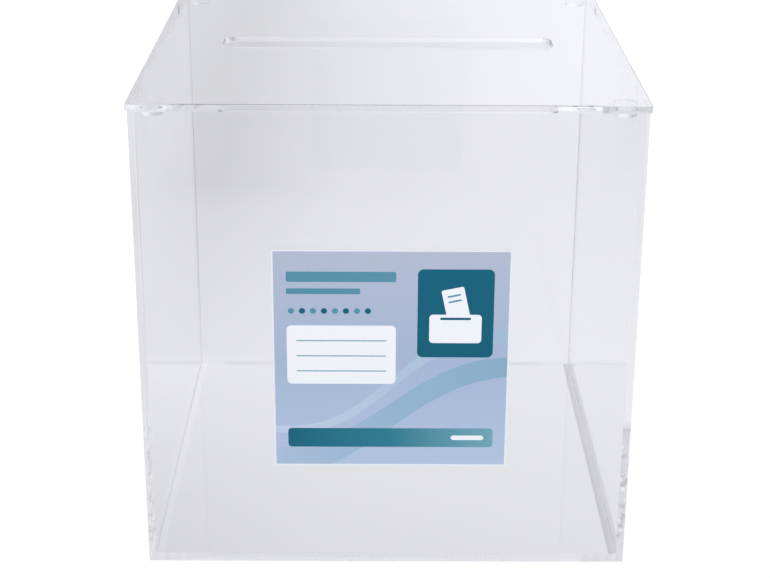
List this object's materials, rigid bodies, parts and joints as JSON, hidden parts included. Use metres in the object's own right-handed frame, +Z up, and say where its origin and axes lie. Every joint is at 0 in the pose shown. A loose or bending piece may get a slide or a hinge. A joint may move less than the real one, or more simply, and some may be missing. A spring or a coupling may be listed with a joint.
{
  "type": "ballot box",
  "caption": "Clear acrylic ballot box: an open-topped box of cemented sheets under a loose lift-off lid with a long posting slot, and a plain printed label on the front.",
  "frame": {"origin": "centre of the base's underside, on the surface that the box stands on", "axes": "+Z is up, the labelled front panel faces -Y, and +X is to the right as seen from the front"},
  "size_m": [0.212, 0.212, 0.21],
  "materials": {
    "clear_acrylic": "polished clear acrylic sheet",
    "label_film": "satin printed film"
  },
  "bodies": {
    "box": {"base_panel": "clear_acrylic", "front_panel": "clear_acrylic", "back_panel": "clear_acrylic", "left_panel": "clear_acrylic", "right_panel": "clear_acrylic", "front_label": "label_film"},
    "lid": {"lid_panel": "clear_acrylic", "locating_disc_front_left": "clear_acrylic", "locating_disc_front_right": "clear_acrylic", "locating_disc_back_left": "clear_acrylic", "locating_disc_back_right": "clear_acrylic"}
  },
  "joints": [
    {"name": "lid_lift", "type": "slide", "parent": "box", "child": "lid", "axis": [0, 0, 1], "range_m": [0, 0.12]}
  ]
}
